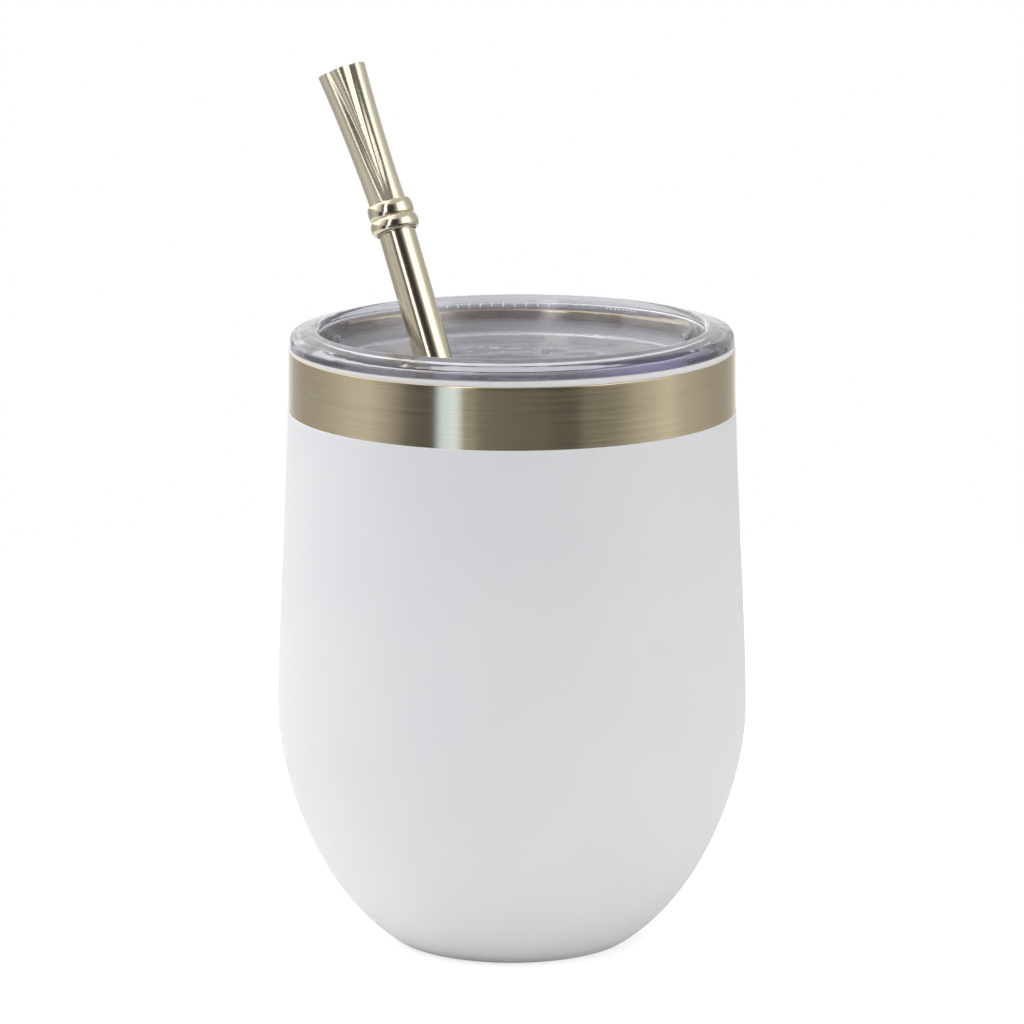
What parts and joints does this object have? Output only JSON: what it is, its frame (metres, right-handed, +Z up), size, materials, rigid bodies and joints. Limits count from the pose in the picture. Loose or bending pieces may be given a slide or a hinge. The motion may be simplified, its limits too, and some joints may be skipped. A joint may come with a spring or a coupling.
{
  "type": "mate tumbler",
  "caption": "Stemless double-wall steel tumbler for mate with a clear press-in lid and a leaning metal drinking tube.",
  "frame": {"origin": "centre of the flat foot, on the cup's axis", "axes": "+Z up along the cup's axis; the drinking tube leans towards -X and +Y"},
  "size_m": [0.088, 0.088, 0.1626],
  "materials": {
    "white_coat": "fine matt powder coat",
    "brushed_steel": "brushed round the cup",
    "clear_plastic": "clear, moulded glossy",
    "polished_steel": "polished"
  },
  "bodies": {
    "root": {"outer_shell": "white_coat", "steel_liner": "brushed_steel", "clear_lid": "clear_plastic", "drinking_tube": "polished_steel", "tube_collar": "polished_steel", "mouthpiece": "polished_steel"}
  },
  "joints": []
}
